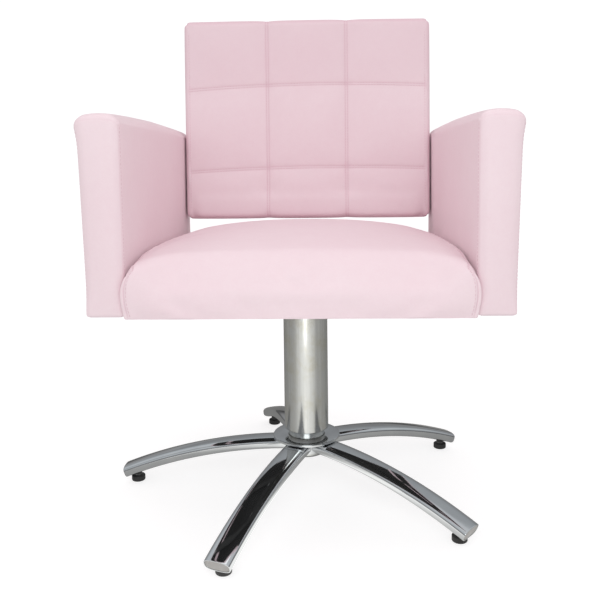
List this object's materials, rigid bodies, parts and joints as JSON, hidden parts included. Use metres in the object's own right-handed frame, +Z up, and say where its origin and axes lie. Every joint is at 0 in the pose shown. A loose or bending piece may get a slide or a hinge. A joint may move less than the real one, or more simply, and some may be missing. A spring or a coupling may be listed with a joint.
{
  "type": "styling chair",
  "caption": "Salon styling chair with a quilted low back, crowned seat and box arms in pink leatherette, turning on a chromed column and a five-leg star base with levelling feet.",
  "frame": {"origin": "on the floor under the swivel axis, which is the middle of the footprint within 6 mm", "axes": "+Z up, -Y the way the sitter faces, +X to the right seen from in front"},
  "size_m": [0.6449, 0.6321, 0.8408],
  "materials": {
    "chrome": "polished",
    "satin_chrome": "satin",
    "end_cap": "gloss",
    "steel": "satin",
    "bearing_steel": "polished",
    "nylon": "satin",
    "plug_plastic": "matte",
    "foot_plastic": "matte",
    "black_paint": "satin",
    "leatherette": "satin",
    "foam": "matte",
    "timber": "matte",
    "dust_cloth": "matte"
  },
  "bodies": {
    "base": {"base_hub": "steel", "hub_plug": "plug_plastic", "base_disc": "chrome", "leg_1": "chrome", "leg_2": "chrome", "leg_3": "chrome", "leg_4": "chrome", "leg_5": "chrome", "leg_end_cap_1": "end_cap", "leg_end_cap_2": "end_cap", "leg_end_cap_3": "end_cap", "leg_end_cap_4": "end_cap", "leg_end_cap_5": "end_cap", "foot_bushes": "steel", "spindle_tube": "steel", "spindle_cap": "steel", "spindle_stud": "steel", "thrust_race_lower": "bearing_steel", "retaining_washer": "steel", "retaining_nut": "steel"},
    "foot_1": {"foot_pad_1": "foot_plastic", "foot_stud_1": "steel"},
    "foot_2": {"foot_pad_2": "foot_plastic", "foot_stud_2": "steel"},
    "foot_3": {"foot_pad_3": "foot_plastic", "foot_stud_3": "steel"},
    "foot_4": {"foot_pad_4": "foot_plastic", "foot_stud_4": "steel"},
    "foot_5": {"foot_pad_5": "foot_plastic", "foot_stud_5": "steel"},
    "cage": {"bearing_cage": "nylon", "bearing_balls": "bearing_steel"},
    "seat": {"arm_cover_left": "leatherette", "arm_cover_right": "leatherette", "arm_foam_left": "foam", "arm_foam_right": "foam", "arm_frame_left": "timber", "arm_frame_right": "timber", "back_bolts": "steel", "back_cover": "leatherette", "back_foam": "foam", "back_frame": "timber", "back_panel": "leatherette", "column_bush_lower": "nylon", "column_bush_upper": "nylon", "column_head": "steel", "column_tube": "satin_chrome", "dust_covers": "dust_cloth", "insert_nuts": "steel", "seat_board": "timber", "seat_cover": "leatherette", "seat_foam": "foam", "support_bolts": "steel", "support_frame": "black_paint", "thrust_race_upper": "bearing_steel"}
  },
  "joints": [
    {"name": "seat_swivel", "type": "hinge", "parent": "base", "child": "seat", "pos_m": [0, 0, 0], "axis": [0, 0, 1], "continuous": true},
    {"name": "cage_turn", "type": "hinge", "parent": "base", "child": "cage", "pos_m": [0, 0, 0], "axis": [0, 0, 1], "continuous": true},
    {"name": "foot_1_level", "type": "slide", "parent": "base", "child": "foot_1", "axis": [0, 0, -1], "range_m": [0, 0.01]},
    {"name": "foot_2_level", "type": "slide", "parent": "base", "child": "foot_2", "axis": [0, 0, -1], "range_m": [0, 0.01]},
    {"name": "foot_3_level", "type": "slide", "parent": "base", "child": "foot_3", "axis": [0, 0, -1], "range_m": [0, 0.01]},
    {"name": "foot_4_level", "type": "slide", "parent": "base", "child": "foot_4", "axis": [0, 0, -1], "range_m": [0, 0.01]},
    {"name": "foot_5_level", "type": "slide", "parent": "base", "child": "foot_5", "axis": [0, 0, -1], "range_m": [0, 0.01]}
  ],
  "couplings": [
    {"joint": "cage_turn", "follows": "seat_swivel", "ratio": 0.5}
  ]
}
